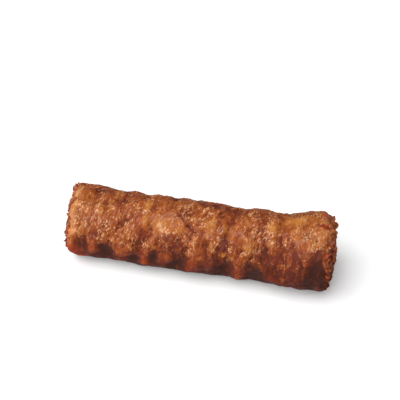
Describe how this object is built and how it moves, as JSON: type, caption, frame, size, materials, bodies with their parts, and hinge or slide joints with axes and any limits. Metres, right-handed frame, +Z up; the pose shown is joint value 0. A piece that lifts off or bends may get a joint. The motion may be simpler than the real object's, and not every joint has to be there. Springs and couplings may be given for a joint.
{
  "type": "minced meat stick",
  "caption": "Deep-fried stick of minced meat: a solid round bar with a browned, craggy crust and rough, slightly domed ends.",
  "frame": {"origin": "on the table, under the middle of the stick's box", "axes": "+X along the stick, towards its thicker end; +Y away from the side that shows in the picture; +Z up"},
  "size_m": [0.1238, 0.036, 0.0356],
  "materials": {
    "browned_crust": "food, not leather: fried minced meat, golden brown on the raised parts and dark reddish brown in the hollows, slightly greasy"
  },
  "bodies": {
    "root": {"minced_meat_stick": "browned_crust"}
  },
  "joints": []
}
